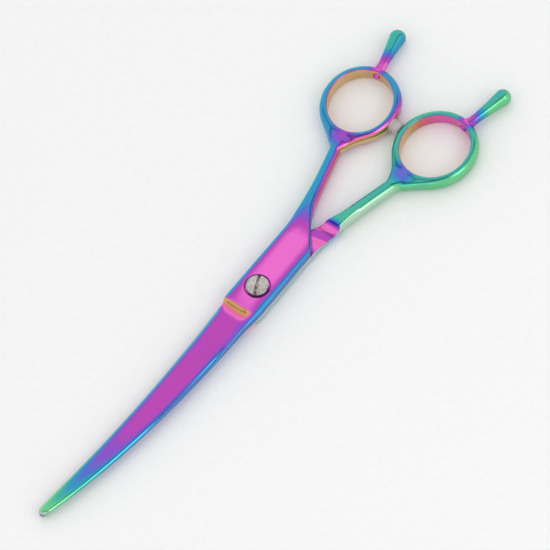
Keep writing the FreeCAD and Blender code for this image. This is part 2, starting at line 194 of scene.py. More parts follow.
def solid_from_field(name, field, low, high, step):
    low, step = np.array(low, float), np.array(step, float)
    counts = np.ceil((np.array(high) - low) / step).astype(int) + 1
    grid = np.meshgrid(*[low[a] + step[a] * np.arange(counts[a]) for a in range(3)], indexing="ij")
    values = field(*grid)
    inside = values < 0
    full = sum(inside[i:counts[0] - 1 + i, j:counts[1] - 1 + j, k:counts[2] - 1 + k].astype(int)
               for i, j, k in CORNERS)
    cells = np.argwhere((full > 0) & (full < 8))
    number = -np.ones(counts, int)
    number[tuple(cells.T)] = np.arange(len(cells))
    points = settle(field, net_points(values, cells, low, step))
    piece = make_mesh(name, points, net_faces(inside, number).tolist())
    print(f"{name}: {len(points)} points")
    return piece


print(f"a cell of the grid has {len(CELL_EDGES)} edges to look for crossings on")

# %% [markdown]
# ## The two halves
# One description serves both halves. `side` is the side of the X axis its ring lies on and `out` is the way
# its outer face looks. The blades bend the same way, so they don't mirror, while everything behind the
# pivot does.

# %% Half
RING_TILT = math.radians(13)
REST_ANGLE = math.radians(12)


class Half:
    def __init__(self, name, side, hole, shank):
        self.name = name
        self.side = side
        self.out = -side
        self.inner_z = mid + self.out * face_gap / 2
        self.centre = ring_centre(f"{name}_finger_hole")
        self.long_radius, self.short_radius, self.rim = hole
        self.shank = shank
        turn = math.pi - side * REST_ANGLE
        self.rest_along = np.array([math.cos(turn), math.sin(turn), 0.0])


front = Half("front", -1, (12.2, 11.2, 2.65), 2.1)
rear = Half("rear", 1, (12.5, 11.6, 2.7), 2.45)
print(f"ring centres at y {front.centre[1]:.1f} and {rear.centre[1]:.1f} mm")

# %% [markdown]
# ## Blade outline
# Both edges are plain polynomials of the run from root to tip. The low edge bows a little and the high edge
# sweeps down to it, and together they give the blade its curve. The end is a blunt, rounded tip.

# %% Blade edges
BLADE_ROOT = 8.0
BLOCK_HALF_WIDTH = 7.0
LOW_EDGE = (-7.0, 6.7, -8.4)
HIGH_EDGE = (6.3, 0.3, -6.57, -5.08)
TIP_ROUND = 2.7
TIP_LENGTH = 2.58


def blade_edges(x):
    """Low edge, high edge and fraction run from root to tip."""
    run = np.clip((x - BLADE_ROOT) / (tip_x - BLADE_ROOT), -0.2, 1.01)
    low = LOW_EDGE[0] + LOW_EDGE[1] * run + LOW_EDGE[2] * run ** 2
    high = HIGH_EDGE[0] + HIGH_EDGE[1] * run + HIGH_EDGE[2] * run ** 2 + HIGH_EDGE[3] * run ** 3
    high = high + (BLOCK_HALF_WIDTH - HIGH_EDGE[0]) * (1 - smooth_step(6, 18, x))
    low = np.where(x < BLADE_ROOT, -BLOCK_HALF_WIDTH, low)
    middle = (low + high) / 2
    end = np.clip((x - (tip_x - TIP_ROUND)) / TIP_LENGTH, 0, 1)
    half_width = (high - low) / 2 * np.sqrt(np.maximum(1 - end ** 2, 0.0))
    return middle - half_width, middle + half_width, run


low_edge, high_edge, _ = blade_edges(tip_x / 2)
print(f"half way to the tip the blade is {float(high_edge - low_edge):.1f} mm wide")

# %% [markdown]
# ## Outer face as a height map
# Forward of the handles, the outer face is a height over the flat inner face: the pivot block's flat with a
# ground bevel on both long edges, and the blade's face with rounded flanks. Where the grinding wheel left
# the block it made a cove, and the spine keeps a ridge that fades out.

# %% Outer face
BLOCK_END = 9.4
BEVEL_WIDTH = 1.25
BEVEL_SLOPE = 0.42
ROOT_THICKNESS = 2.45
TIP_THINNING = 1.15
EDGE_THICKNESS = 0.18
CUTTING_BEVEL = 3.0
SPINE_BEVEL = 2.6
ROUNDING = 2.2
COVE_SIDE = 4.6
COVE_WIDTH = 2.4
RIDGE_END = 34


def block_face(x, y, crotch):
    """Height of the block: flat, a trace of crown, and bevels on both sides and along the crotch."""
    flank = np.abs(y) - BLOCK_HALF_WIDTH - 0.25 * np.maximum(-27 - x, 0)
    crown = 0.012 * np.maximum(np.abs(y) - 2, 0) ** 2
    drop = BEVEL_SLOPE * np.maximum(flank + BEVEL_WIDTH, 0) + crown
    behind = 0.5 * np.maximum(crotch + 0.9, 0) + 0.11 * np.maximum(-31 - x, 0)
    return block_height - drop - behind


def blade_face(half, y, low, high, run):
    """Height of the blade: thin at the cutting edge, thick along the middle, rolled at the spine."""
    thick = ROOT_THICKNESS - TIP_THINNING * run
    from_cutting, from_spine = (y - low, high - y) if half.out > 0 else (high - y, y - low)
    taper = 1 - 0.3 * np.clip(run, 0, 1)
    cut = 1 - np.clip(from_cutting / (CUTTING_BEVEL * taper), 0, 1)
    spine = 1 - np.clip(from_spine / (SPINE_BEVEL * taper), 0, 1)
    cutting_side = EDGE_THICKNESS + (thick - EDGE_THICKNESS) * (1 - cut ** ROUNDING)
    spine_side = thick * (0.5 + 0.5 * (1 - spine ** ROUNDING))
    return smooth_min(cutting_side, spine_side, 0.35)


def outer_height(half, x, y, low, high, run, crotch):
    """Block and blade together: a cove leads down from the block, and a ridge fades along the spine."""
    face = blade_face(half, y, low, high, run)
    block = block_face(x, y, crotch)
    block = block + (1.5 - block) * smooth_step(BLOCK_END, RIDGE_END, x)
    pocket = smooth_min(x - BLOCK_END, COVE_SIDE - half.out * y, 3.0)
    cove = np.clip(pocket / COVE_WIDTH, 0, 1)
    rise = (1 - cove) ** ROUNDING
    stepped = face + np.maximum(block - face, 0) * np.where(pocket < 0, 1, rise)
    return np.where(x < BLOCK_END, block, stepped)


print(f"block {block_height:.2f} mm thick, blade {ROOT_THICKNESS} mm at its root")

# %% [markdown]
# ## Inner face
# The inner face is what cuts, so it is flat only along the edge. Behind the edge it is hollow ground by
# a few tenths of a millimetre, and at the handle end it is scooped away to let the other block swing past.

# %% Inner face
SCOOP_MIDDLE = -29.5
SCOOP_RADIUS = 6.0
SCOOP_DEPTH = 0.7
HOLLOW_DEPTH = 0.17


def inner_floor(half, x, y, low, high):
    """Height of the inner face over its plane: hollow along the blade, a round groove at the shank."""
    across = (y - low) / np.maximum(high - low, 0.5)
    from_edge = across if half.out > 0 else 1 - across
    hollow = HOLLOW_DEPTH * np.maximum(1 - ((from_edge - 0.56) / 0.4) ** 2, 0) * smooth_step(12, 22, x)
    hollow = hollow * (1 - smooth_step(tip_x - 6, tip_x - 1, x))
    reach = np.clip(x - SCOOP_MIDDLE, -SCOOP_RADIUS, SCOOP_RADIUS)
    scoop = SCOOP_DEPTH - SCOOP_RADIUS + np.sqrt(SCOOP_RADIUS ** 2 - reach ** 2)
    return np.where(x < SCOOP_MIDDLE, scoop, smooth_max(scoop, hollow, 0.5))


print(f"hollow {HOLLOW_DEPTH} mm, groove {SCOOP_DEPTH} mm")

# %% [markdown]
# ## Handle
# The ring is an oval band, nearly flat inside where the finger turns and well rounded outside. The shank is
# a soft oval rod. Their plan outlines are joined by a wide smooth minimum, which makes the web, and the
# web is dished between the two branches, as a polishing wheel leaves it.

# %% Handle field
SHANK_START = -22.0
SHANK_END = -67.0
SHANK_SLANT = 0.97
SHANK_HEIGHT = 2.62
OVAL_POWER = 2.2
RING_HEIGHT = 2.78
RING_CROWN = 6.2
WEB_HEIGHT = 2.6
WEB_FILLET = 10.0
DISH_DEPTH = 0.6
DISH_X = -64.3


def shank_line(half, x):
    """Sideways place of the shank's middle line."""
    back = np.maximum(SHANK_START - x, 0)
    return half.side * (3.1 + 0.226 * back + 0.0008 * back ** 2)


def handle_field(half, x, y, z):
    """Ring, shank and web of one half, with the finger hole cut through."""
    height = np.abs(z - mid)
    tilt = -half.side * RING_TILT
    dx, dy = x - half.centre[0], y - half.centre[1]
    along = dx * math.cos(tilt) + dy * math.sin(tilt)
    across = dy * math.cos(tilt) - dx * math.sin(tilt)
    hole = oval_distance(along, across, half.long_radius, half.short_radius)
    outside = oval_distance(along, across, half.long_radius + half.rim, half.short_radius + half.rim)
    ring = smooth_max(height - RING_HEIGHT, outside + height ** 2 / RING_CROWN, 1.5)

    offset = np.abs(y - shank_line(half, x)) * SHANK_SLANT
    width = half.shank + 0.35 * smooth_step(-50, -32, x)
    rod = ((offset / width) ** OVAL_POWER + (height / SHANK_HEIGHT) ** OVAL_POWER) ** (1 / OVAL_POWER)
    past_end = SHANK_END - x
    shank = smooth_max((rod - 1) * half.shank, past_end, 1.0)

    plan = smooth_min(outside, np.maximum(offset - width, past_end), WEB_FILLET)
    inside_web = smooth_step(-52, -60, x)
    dish = DISH_DEPTH * np.exp(-((x - DISH_X) / 3.4) ** 2 - (offset / 3.1) ** 2)
    web = smooth_max(plan + 0.3 + (1 - inside_web) * 6, height - WEB_HEIGHT + dish, 2.6)
    solid = smooth_min(smooth_min(ring, shank, 0.9), web, 1.0)
    return smooth_max(solid, -hole, 1.0)


print(f"ring {2 * RING_HEIGHT:.2f} mm high, shank {2 * front.shank:.1f} mm wide")

# %% [markdown]
# ## The whole forging
# The block and blade are a height map between two faces; the handle is joined to them with a wide fillet.
# The drilled holes come last, because drilling is the last thing done to the real piece.

# %% Half field
CROTCH_X, CROTCH_Y = -30.0, 0.6
CROTCH_LEAN = (0.625, 0.78)
BLOCK_BACK = -43.0
PIVOT_HOLE = {"front": 2.55, "rear": 2.05}
HEAD_RECESS = 4.4
RECESS_DEPTH = 0.55
STUD_HOLE = 1.25
STUD_DEPTH = 5.0
SEAT_HOLE = 2.15
SEAT_DEPTH = 0.6


def forward_field(half, x, y, z):
    """Block and blade of one half, cut away at an angle behind the pivot."""
    above = half.out * (z - half.inner_z)
    mirrored = half.side * y
    crotch = -CROTCH_LEAN[0] * (x - CROTCH_X) - CROTCH_LEAN[1] * (mirrored - CROTCH_Y)
    narrowing = 2.3 - 0.14 * np.maximum(-29 - x, 0)
    shank_side = (np.abs(shank_line(half, x)) - narrowing - mirrored) * SHANK_SLANT
    crotch = smooth_min(crotch, shank_side, 3.0)
    low, high, run = blade_edges(x)
    top = outer_height(half, x, y, low, high, run, crotch)
    outer_side = np.where(mirrored > 0, 1, 0) * 0.12 * np.maximum(-27 - x, 0)
    plan = smooth_max(low - y, y - high, 0.3) - outer_side
    plan = smooth_max(plan, crotch, 1.4)
    solid = smooth_max(plan, (above - top) * 0.8, 0.3)
    return smooth_max(np.maximum(solid, -(above + 2.0)), BLOCK_BACK - x, 1.5)


def half_field(half):
    """The finished forging: block, blade and handle joined, then faced and drilled."""
    rest_seat = np.array([*half.centre, mid])
    rest_seat = rest_seat + half.rest_along * (half.long_radius + half.rim - SEAT_DEPTH)

    def field(x, y, z):
        above = half.out * (z - half.inner_z)
        low, high, _ = blade_edges(x)
        handle = handle_field(half, x, y, z) + 30 * smooth_step(-24, -18, x)
        solid = smooth_min(forward_field(half, x, y, z), handle, 1.6)
        solid = smooth_max(solid, above - block_height, 0.25)
        solid = smooth_max(solid, (inner_floor(half, x, y, low, high) - above) * 0.9, 0.16)
        point = (x, y, z)
        up = (0, 0, 1)
        pivot, _ = rod_distance(point, (0, 0, 0), up, PIVOT_HOLE[half.name])
        solid = smooth_max(solid, -pivot, 0.1)
        if half.out > 0:
            recess, _ = rod_distance(point, (0, 0, 0), up, HEAD_RECESS)
            solid = smooth_max(solid, -np.maximum(recess, (block_height - RECESS_DEPTH) - above), 0.15)
        stud, run = rod_distance(point, rest_seat, half.rest_along, STUD_HOLE)
        solid = smooth_max(solid, -np.maximum(stud, -STUD_DEPTH - run), 0.12)
        seat, run = rod_distance(point, rest_seat, half.rest_along, SEAT_HOLE)
        return smooth_max(solid, -np.maximum(seat, -run), 0.12)

    return field


print(f"pivot holes {2 * PIVOT_HOLE['front']:.1f} and {2 * PIVOT_HOLE['rear']:.1f} mm across")

# %% [markdown]
# ## Making both halves
# The grid has to be fine across the flats and along the rolled edges, but it can be coarser along the
# shears, so its three steps differ. Each half becomes one mesh, because it is one forging.

# %% Make both halves
NET_STEP = (0.36, 0.27, 0.2)
NET_MARGIN = {"front": 0.9, "rear": 0.85}


def make_half(half, box):
    """Net a half; its margin keeps every layer of the grid off the flat faces and the ring's crest."""
    margin = np.array((0.83, 0.83, NET_MARGIN[half.name]))
    low, high = box[0] - margin, box[1] + margin
    piece = solid_from_field(f"{half.name}_half_forging", half_field(half), low, high, NET_STEP)
    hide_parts(f"{half.name}_half")
    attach(piece, half.name)
    return piece


front_forging = make_half(front, front_box)
rear_forging = make_half(rear, rear_box)

# %% [markdown]
# ## Turned pieces
# Finger rests, washers and the stop are made on a lathe or in a round mould, so each is one profile turned
# about an axis. The profile is a list of corners, and a run of points rounds each of them.

# %% Lathe


def lathe(name, profile, origin, along, turns=64):
    """Turn (distance, radius) points about a line; points in millimetres."""
    along = np.array(along, float)
    helper = np.array([0, 0, 1.0]) if abs(along[2]) < 0.9 else np.array([1.0, 0, 0])
    first = np.cross(helper, along)
    first /= np.linalg.norm(first)
    second = np.cross(along, first)
    angles = np.arange(turns) * 2 * math.pi / turns
    circle = np.cos(angles)[:, None] * first + np.sin(angles)[:, None] * second
    points = [np.array(origin) + along * run + circle * radius for run, radius in profile]
    rows = len(profile)
    faces = []
    for row in range(rows - 1):
        for spot in range(turns):
            after = (spot + 1) % turns
            here, above = row * turns, (row + 1) * turns
            faces.append((here + spot, here + after, above + after, above + spot))
    points = np.concatenate(points)
    closed = profile[0] == profile[-1]
    if closed:
        points = points[:-turns]
        faces = [tuple(index % len(points) for index in face) for face in faces]
    else:
        faces.append(tuple(reversed(range(turns))))
        faces.append(tuple((rows - 1) * turns + spot for spot in range(turns)))
    return make_mesh(name, points, faces)


def soften(corners, radius=0.15, steps=4, closed=False):
    """Replace each inner corner of a profile with a short curve."""
    corners = [np.array(corner, float) for corner in corners]
    soft = [] if closed else [tuple(corners[0])]
    span = range(len(corners)) if closed else range(1, len(corners) - 1)
    for index in span:
        before, corner = corners[index - 1], corners[index]
        after = corners[(index + 1) % len(corners)]
        reach_in = min(radius, np.linalg.norm(corner - before) * 0.45)
        reach_out = min(radius, np.linalg.norm(after - corner) * 0.45)
        start = corner + (before - corner) / np.linalg.norm(before - corner) * reach_in
        end = corner + (after - corner) / np.linalg.norm(after - corner) * reach_out
        for step in range(steps + 1):
            run = step / steps
            soft.append(tuple((1 - run) ** 2 * start + 2 * run * (1 - run) * corner + run ** 2 * end))
    soft.append(soft[0] if closed else tuple(corners[-1]))
    return soft


print("a softened corner has", len(soften([(0, 0), (1, 0), (1, 1)])) - 2, "points")

# %% [markdown]
# ## Finger rests
# A rest is a trumpet foot, a slim neck and a long flare that ends in a rounded knob. The flare is a smooth
# curve of radius against length, and the knob closes it as a quarter oval.

# %% Finger rests
KNOB_RADIUS = 2.9
NECK_RADIUS = 1.72
NECK_END = 2.6


def rest_profile(length):
    """Stud, foot, neck, flare and knob, as (distance, radius) points."""
    profile = [(-3.3, 0.02), (-3.3, 0.9), (-3.1, 1.18), (-0.65, 1.18), (-0.6, 2.05)]
    for step in range(1, 9):
        run = step / 8
        profile.append((-0.6 + 3.2 * run, NECK_RADIUS + 0.5 * (1 - run) ** 2.4))
    knob_start = length - KNOB_RADIUS
    for step in range(1, 19):
        run = step / 18
        radius = NECK_RADIUS + (KNOB_RADIUS - NECK_RADIUS) * run ** 1.55
        profile.append((NECK_END + (knob_start - NECK_END) * run, radius))
    for step in range(1, 15):
        angle = step / 14 * math.pi / 2
        radius = max(KNOB_RADIUS * math.cos(angle) ** 0.92, 0.02)
        profile.append((knob_start + KNOB_RADIUS * math.sin(angle), radius))
    return profile


def make_rest(half):
    node = f"finger_rest_{half.name}"
    box = np.array(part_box(node)) / MM
    root = np.array([*half.centre, mid]) + half.rest_along * (half.long_radius + half.rim)
    length = (root[0] - box[0, 0] - 0.12) / abs(half.rest_along[0])
    piece = lathe(f"{node}_turned", rest_profile(length), root, half.rest_along)
    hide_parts(node)
    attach(piece, half.name)
    return piece


rests = [make_rest(front), make_rest(rear)]
print("finger rests:", [piece.name for piece in rests])

# %% [markdown]
# ## Pivot screw
# The screw is bare turned steel with a low dome, a chamfered rim and a slot for a coin. It could be a lathe
# piece with a boolean cut, but the field gives the slot soft, slightly worn edges in one go.

# %% Pivot screw
HEAD_RADIUS = screw_box[1, 0] - 0.02
SLOT_ANGLE = math.radians(24)
SLOT_HALF_WIDTH = 0.55
SLOT_DEPTH = 0.95
SHOULDER_RADIUS = 2.5
THREAD_RADIUS = 2.0
SHOULDER_START = 0.9
THREAD_END = 0.28
DOME_RISE = 0.6
CHAMFER_DEPTH = 0.62
head_top = screw_box[1, 2]
head_under = head_top - 1.5


def screw_field(x, y, z):
    around = np.sqrt(x * x + y * y)
    dome = z - (head_top - 0.02 - DOME_RISE * (around / HEAD_RADIUS) ** 2)
    head = smooth_max(around - HEAD_RADIUS, dome, 0.3)
    head = smooth_max(head, head_under - z, 0.15)
    chamfer = (around - HEAD_RADIUS) * 0.7 + (z - head_top + CHAMFER_DEPTH) * 0.7
    head = smooth_max(head, chamfer, 0.12)
    across = -x * math.sin(SLOT_ANGLE) + y * math.cos(SLOT_ANGLE)
    slot = np.maximum(np.abs(across) - SLOT_HALF_WIDTH, (head_top - SLOT_DEPTH) - z)
    head = smooth_max(head, -slot, 0.12)
    shoulder = np.maximum(around - SHOULDER_RADIUS, np.maximum(z - head_top + SHOULDER_START, mid - z))
    thread = np.maximum(around - THREAD_RADIUS, np.maximum(z - mid - 0.5, THREAD_END - z))
    return np.minimum(head, np.minimum(shoulder, thread))


screw = solid_from_field("pivot_screw_turned", screw_field, screw_box[0] - 0.3, screw_box[1] + 0.3,
                         (0.11, 0.11, 0.09))
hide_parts("pivot_screw")
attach(screw, "screw")

# %% [markdown]
# ## Washers
# The spring washer is a thin dished ring that only shows as a dark line under the head. The glide washer is
# a flat nylon ring that keeps the two halves from rubbing. Each is a closed profile, so it gets its hole.

# %% Washers
WASHER_HOLE = 2.56
GLIDE_RADIUS = 4.98
spring_box = np.array(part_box("spring_washer")) / MM
seat_z, crown_z = spring_box[0, 2], spring_box[1, 2]
spring_radius = spring_box[1, 0] - 0.02
spring_corners = [(seat_z + 0.1, WASHER_HOLE), (seat_z, spring_radius),
                  (crown_z - 0.1, spring_radius), (crown_z, WASHER_HOLE)]
spring_profile = soften(spring_corners, 0.05, 2, closed=True)
spring = lathe("spring_washer_pressed", spring_profile, (0, 0, 0), (0, 0, 1), 96)
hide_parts("spring_washer")
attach(spring, "front")

glide_box = np.array(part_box("glide_washer")) / MM
glide_low, glide_high = glide_box[:, 2]
glide_corners = [(glide_low, WASHER_HOLE), (glide_low, GLIDE_RADIUS),
                 (glide_high, GLIDE_RADIUS), (glide_high, WASHER_HOLE)]
glide_profile = soften(glide_corners, 0.05, 2, closed=True)
glide = lathe("glide_washer_nylon", glide_profile, (0, 0, 0), (0, 0, 1), 96)
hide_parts("glide_washer")
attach(glide, "rear")
print("washers made")

# %% [markdown]
# ## Soft stop
# The stop is a short ribbed stub of clear rubber that softens the rings' meeting. Its ribs are corners of
# the profile, and they catch the light as the real one's do.

# %% Soft stop
stop_box = np.array(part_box("bumper")) / MM
stop_x = stop_box[:, 0].mean()
stop_length = stop_box[1, 1] - stop_box[0, 1]
PEG_LENGTH, PEG_RADIUS = 1.9, 1.08
STOP_RADIUS, GROOVE_RADIUS = 2.38, 2.05
RIBS = 4
stop_corners = [(0, 0.02), (0, PEG_RADIUS), (PEG_LENGTH, PEG_RADIUS), (PEG_LENGTH, STOP_RADIUS)]
pitch = (stop_length - PEG_LENGTH - 0.7) / RIBS
for rib in range(RIBS):
    base = PEG_LENGTH + 0.5 + pitch * rib
    stop_corners += [(base + pitch * 0.2, STOP_RADIUS), (base + pitch * 0.45, GROOVE_RADIUS),
                     (base + pitch * 0.8, GROOVE_RADIUS)]
stop_corners += [(stop_length - 0.25, STOP_RADIUS), (stop_length - 0.02, 2.0), (stop_length - 0.02, 0.02)]
stop = lathe("bumper_moulded", soften(stop_corners, 0.14, 3), (stop_x, stop_box[0, 1], mid), (0, 1, 0))
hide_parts("bumper")
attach(stop, "front")
print(f"stop {stop_length:.1f} mm long")

# %% [markdown]
# ## Shader maths as Python
# A node tree is easier to read as an expression. This class wraps an output socket, and the operators add
# Math nodes. Colours and vectors go through their own nodes, because a Math node would turn them grey.

# %% Socket wrapper


class Value:
    """An output socket that Python's operators work on."""

    def __init__(self, shader, socket):
        self.shader = shader
        self.socket = socket

    def _math(self, operation, *operands):
        return self.shader.node("ShaderNodeMath", {"operation": operation}, dict(enumerate(operands)))

    def __add__(self, other):
        return self._math("ADD", self, other)

    def __radd__(self, other):
        return self._math("ADD", other, self)

    def __sub__(self, other):
        return self._math("SUBTRACT", self, other)

    def __rsub__(self, other):
        return self._math("SUBTRACT", other, self)

    def __mul__(self, other):
        return self._math("MULTIPLY", self, other)

    def __rmul__(self, other):
        return self._math("MULTIPLY", other, self)

    def above_zero(self):
        return self._math("MAXIMUM", self, 0.0)

    def at_most(self, other):
        return self._math("MINIMUM", self, other)

    def size(self):
        return self._math("ABSOLUTE", self)

    def rise(self, low, high):
        """Smooth mask from 0 to 1 between two values."""
        sockets = {"Value": self, "From Min": low, "From Max": high, "To Min": 0.0, "To Max": 1.0}
        return self.shader.node("ShaderNodeMapRange", {"interpolation_type": "SMOOTHSTEP"}, sockets, "Result")


class Nodes:
    """A node tree and the few calls that build it up to its surface node."""

    def __init__(self, tree, surface, **constants):
        self.tree = tree
        self.surface = surface
        for socket, number in constants.items():
            surface.inputs[socket.replace("_", " ")].default_value = number

    def node(self, kind, settings=None, sockets=None, output=0):
        item = self.tree.nodes.new(kind)
        for key, setting in (settings or {}).items():
            if key == "stops":
                self._stops(item.color_ramp, setting)
            else:
                setattr(item, key, setting)
        for key, source in (sockets or {}).items():
            if isinstance(source, Value):
                self.tree.links.new(source.socket, item.inputs[key])
            else:
                item.inputs[key].default_value = source
        return Value(self, item.outputs[output])

    @staticmethod
    def _stops(ramp, stops):
        ramp.interpolation = "EASE"
        while len(ramp.elements) < len(stops):
            ramp.elements.new(1.0)
        for element, (place, colour) in zip(ramp.elements, stops):
            element.position = place
            element.color = (*colour, 1)

    def feed(self, **links):
        for socket, source in links.items():
            self.tree.links.new(source.socket, self.surface.inputs[socket.replace("_", " ")])

    def coordinates(self, output):
        return self.node("ShaderNodeTexCoord", output=output)

    def split(self, vector):
        parts = self.node("ShaderNodeSeparateXYZ", sockets={"Vector": vector})
        return [Value(self, socket) for socket in parts.socket.node.outputs]

    def noise(self, vector, scale, detail=3.0, roughness=0.5):
        settings = {"noise_dimensions": "3D"}
        sockets = {"Vector": vector, "Scale": scale, "Detail": detail, "Roughness": roughness}
        return self.node("ShaderNodeTexNoise", settings, sockets, "Fac")

    def stretched(self, vector, stretch):
        return self.node("ShaderNodeVectorMath", {"operation": "MULTIPLY"}, {0: vector, 1: stretch})

    def bump(self, height, strength, distance):
        sockets = {"Height": height, "Strength": strength, "Distance": distance}
        return self.node("ShaderNodeBump", sockets=sockets, output="Normal")


class Shader(Nodes):
    """A material with one Principled surface."""

    def __init__(self, name, **constants):
        self.material = bpy.data.materials.new(name)
        self.material.use_nodes = True
        tree = self.material.node_tree
        tree.nodes.clear()
        surface = tree.nodes.new("ShaderNodeBsdfPrincipled")
        output = tree.nodes.new("ShaderNodeOutputMaterial")
        tree.links.new(surface.outputs[0], output.inputs[0])
        super().__init__(tree, surface, **constants)


print("socket maths ready")

# %% [markdown]
# ## Rainbow finish
# The colour is a film of titanium oxide a few hundred nanometres thick. Light reflected from its two sides
# interferes, so thickness sets the colour, in a fixed order: gold, orange, pink, magenta, violet, blue,
# teal, green, pale green. In the coating chamber flat faces grow one thickness and flanks another, so
# here a thickness number is worked out from the way the surface faces and from its place, and a ramp
# turns it into colour. It belongs to the steel: it doesn't move with the viewer. One darker band across the
# rear half's scoop is painted shade, not film.

# %% Film colours
FILM = [
    (0.00, (0.82, 0.64, 0.38)),
    (0.07, (0.62, 0.38, 0.14)),
    (0.13, (0.70, 0.24, 0.15)),
    (0.19, (0.74, 0.16, 0.30)),
    (0.28, (0.84, 0.16, 0.62)),
    (0.36, (0.50, 0.07, 0.46)),
    (0.44, (0.27, 0.09, 0.58)),
    (0.52, (0.09, 0.18, 0.60)),
    (0.60, (0.04, 0.31, 0.56)),
    (0.68, (0.06, 0.43, 0.38)),
    (0.78, (0.15, 0.60, 0.27)),
    (0.89, (0.42, 0.68, 0.50)),
    (1.00, (0.58, 0.64, 0.54)),
]
print(f"{len(FILM)} colours on the ramp")


def rainbow_steel(name, film_of):
    """Polished coated steel; film_of gives the thickness number from place and facing."""
    shader = Shader(name, Metallic=1.0, Specular_IOR_Level=0.6)
    place, facing = shader.coordinates("Object"), shader.coordinates("Normal")
    cloud = shader.noise(place, 55.0, 2.0) - 0.5
    film = film_of(shader.split(place), shader.split(facing)) + cloud * 0.09
    colour = shader.node("ShaderNodeValToRGB", {"stops": FILM}, {"Fac": film}, "Color")
    brushed = shader.noise(shader.stretched(place, (160.0, 2400.0, 2400.0)), 1.0, 4.0, 0.6)
    smudge = shader.noise(place, 140.0, 3.0)
    roughness = 0.13 + brushed * 0.07 + smudge * 0.06
    normal = shader.bump(brushed, 0.05, 0.00002)
    shader.feed(Base_Color=colour, Roughness=roughness, Normal=normal)
    print("finish:", name)
    return shader.material


# %% [markdown]
# ## Thickness on each piece
# The flats of block and blade are magenta and run through violet to blue over their rounded flanks. Past
# the middle of the blade the film thickens towards the tip, which ends in green. The front handle is blue
# on top and thins round to gold on the flanks that face +X and +Y, and the rear handle is teal and green.

# %% Thickness on block and blade
MM_PER_M = 1000
FRONT_FLAT, REAR_FLAT = 0.28, 0.265
EDGE_ALLOWANCE = 0.3
FLANK_LIMIT = 0.34
TIP_COLOURS_START, TIP_COLOURS_RUN = 0.055, 0.054


def edge_distance(place):
    """Distance in millimetres from the nearer long edge of block or blade."""
    x, y, _ = place
    run = (x * MM_PER_M - BLADE_ROOT).above_zero() * (1 / float(tip_x - BLADE_ROOT))
    low = (run * LOW_EDGE[2] + LOW_EDGE[1]) * run + LOW_EDGE[0]
    high = (run * HIGH_EDGE[3] + HIGH_EDGE[2]) * run + HIGH_EDGE[1]
    high = high * run + (HIGH_EDGE[0] + EDGE_ALLOWANCE)
    return (y * MM_PER_M - low).at_most(high - y * MM_PER_M)


def forward_film(place, facing, face_value, sign):
    """Film number on block and blade."""
    x, y, _ = place
    _, ny, nz = facing
    tilt = (1.0 - (nz * sign)).above_zero()
    edge = edge_distance(place)
    blade = x.rise(0.009, 0.013)
    rim = 1.0 - edge.rise(-0.4, 2.4 + blade * 1.2)
    fade = (1.0 - edge.rise(0.0, 5.2)) * (1.0 - x.rise(0.004, 0.012))
    front_end = x.rise(-0.001, 0.012) * (1.0 - x.rise(0.0085, 0.0100)) * 0.05
    flank = (tilt * 1.4 + rim * 0.2 + fade * 0.10 + front_end).at_most(FLANK_LIMIT) - ny.rise(0.3, 0.9) * 0.09
    past = ((x - TIP_COLOURS_START) * (1 / TIP_COLOURS_RUN)).above_zero()
    toward_tip = past * past * 0.43
    cove = x.rise(0.0090, 0.0097) * (1.0 - x.rise(0.0106, 0.0150)) * (1.0 - (y * sign).rise(0.0038, 0.0052))
    flat = face_value + blade * 0.075 + toward_tip
    return flat + flank * (1.0 - cove) * (1.0 - blade * 0.25 - toward_tip * 1.2) - cove * 0.22


print(f"film number on the flats: {FRONT_FLAT} in front, {REAR_FLAT} behind")

# %% Thickness on the handles
FRONT_HANDLE, REAR_RING, REAR_SHANK, SCOOP = 0.585, 0.69, 0.70, 0.24
WEB_CENTRE = (-0.0635, 0.0130)


def handle_film(facing, top_value, thin, direction):
    """Film number on shank and ring: thin flanks face one way, thick flanks the other."""
    nx, ny, _ = facing
    lean = nx * direction[0] + ny * direction[1]
    return top_value - lean.rise(0.1, 1.0) * thin + (0.0 - lean).rise(0.1, 1.0) * 0.12


def hole_wall(place, facing, half):
    """Mask over the wall of the finger hole, where the coating is thin."""
    x, y, _ = place
    tilt = -half.side * RING_TILT
    dx, dy = x * MM_PER_M - float(half.centre[0]), y * MM_PER_M - float(half.centre[1])
    along = (dx * math.cos(tilt) + dy * math.sin(tilt)) * (1 / half.long_radius)
    across = (dy * math.cos(tilt) - dx * math.sin(tilt)) * (1 / half.short_radius)
    inside = 1.0 - (along * along + across * across).rise(1.03, 1.20)
    return inside * (1.0 - facing[2].rise(0.35, 0.9))


def web_spot(place, half):
    """Soft spot over the dished web between the two branches of the ring."""
    x, y, _ = place
    along = (x - WEB_CENTRE[0]).size()
    across = (y - half.side * WEB_CENTRE[1]).size()
    return (1.0 - along.rise(0.001, 0.0065)) * (1.0 - across.rise(0.001, 0.0060))


def root_spot(place, half):
    """Soft spot where the finger rest meets the ring."""
    x, y, _ = place
    root = half.centre + half.rest_along[:2] * (half.long_radius + half.rim)
    along = (x - float(root[0] * MM)).size()
    across = (y - float(root[1] * MM)).size()
    return (1.0 - along.rise(0.0005, 0.0045)) * (1.0 - across.rise(0.0005, 0.0045))


print(f"film number on the rings: {FRONT_HANDLE} in front, {REAR_RING} behind")

# %% Thickness on each piece


def front_film(place, facing):
    x = place[0]
    nx, _, nz = facing
    handle = 1.0 - x.rise(-0.040, -0.021)
    ahead = forward_film(place, facing, FRONT_FLAT, 1.0)
    behind = handle_film(facing, FRONT_HANDLE, 0.56, (0.45, 0.88))
    behind = behind - web_spot(place, front) * nz.rise(0.5, 0.95) * 0.17 - root_spot(place, front) * 0.33
    wall = hole_wall(place, facing, front)
    behind = behind * (1.0 - wall) + wall * (0.03 + (0.0 - nx).rise(0.2, 1.0) * 0.12)
    return ahead * (1.0 - handle) + behind * handle


